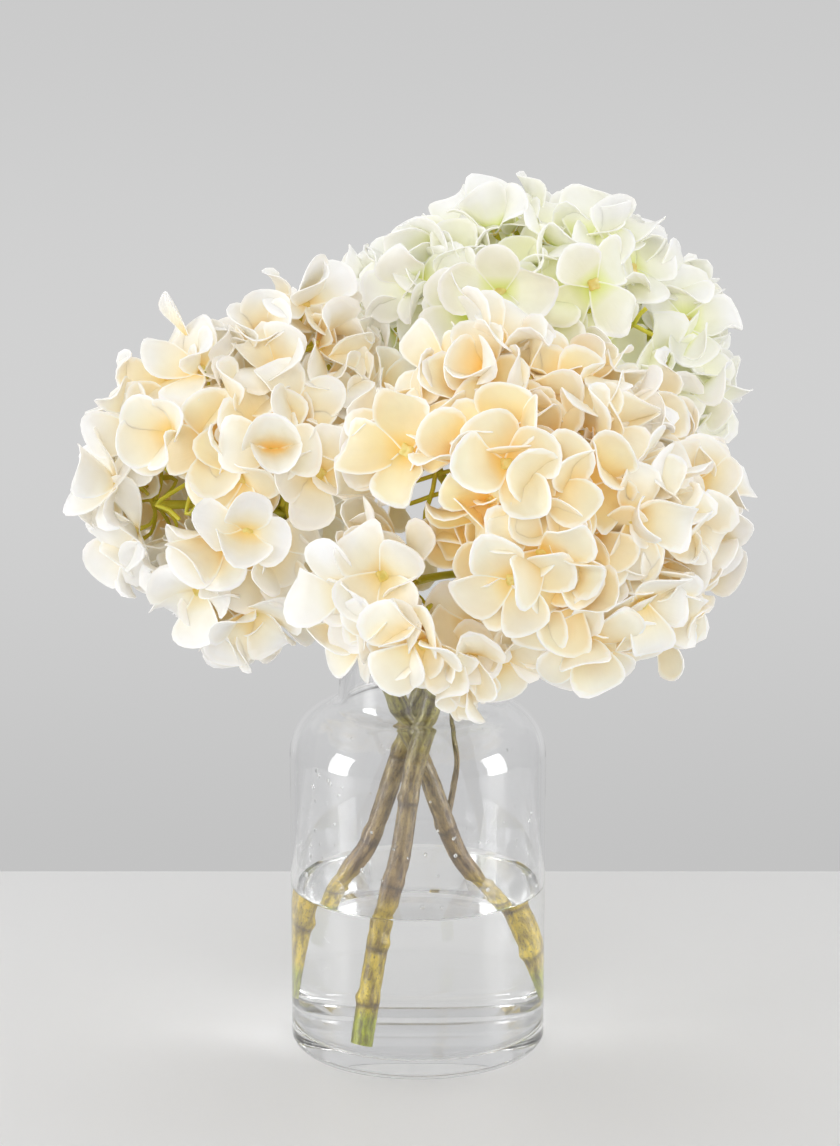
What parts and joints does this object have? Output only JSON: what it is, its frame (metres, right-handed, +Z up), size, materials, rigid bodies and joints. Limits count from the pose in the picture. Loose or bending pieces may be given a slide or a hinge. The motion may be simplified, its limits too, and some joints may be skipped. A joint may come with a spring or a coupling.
{
  "type": "hydrangeas in a glass vase",
  "caption": "Cut cream and white hydrangea heads on woody stems, standing in water in a round-shouldered clear glass vase.",
  "frame": {"origin": "centre of the vase's flat base, on the surface that it stands on", "axes": "+Z up along the vase's axis; the side seen in the picture faces -Y"},
  "size_m": [0.3253, 0.3187, 0.4158],
  "materials": {
    "glass": "clear, polished",
    "water": "clear water",
    "bark": "rough olive-brown bark",
    "cream_petals": "soft matte petals, cream, near white at the edges",
    "white_petals": "soft matte petals, white, lime green at the centre"
  },
  "bodies": {
    "root": {"vase": "glass", "water": "water", "stem_left": "bark", "stem_front": "bark", "stem_right": "bark", "head_left": "cream_petals", "head_front": "cream_petals", "head_back": "white_petals"}
  },
  "joints": []
}
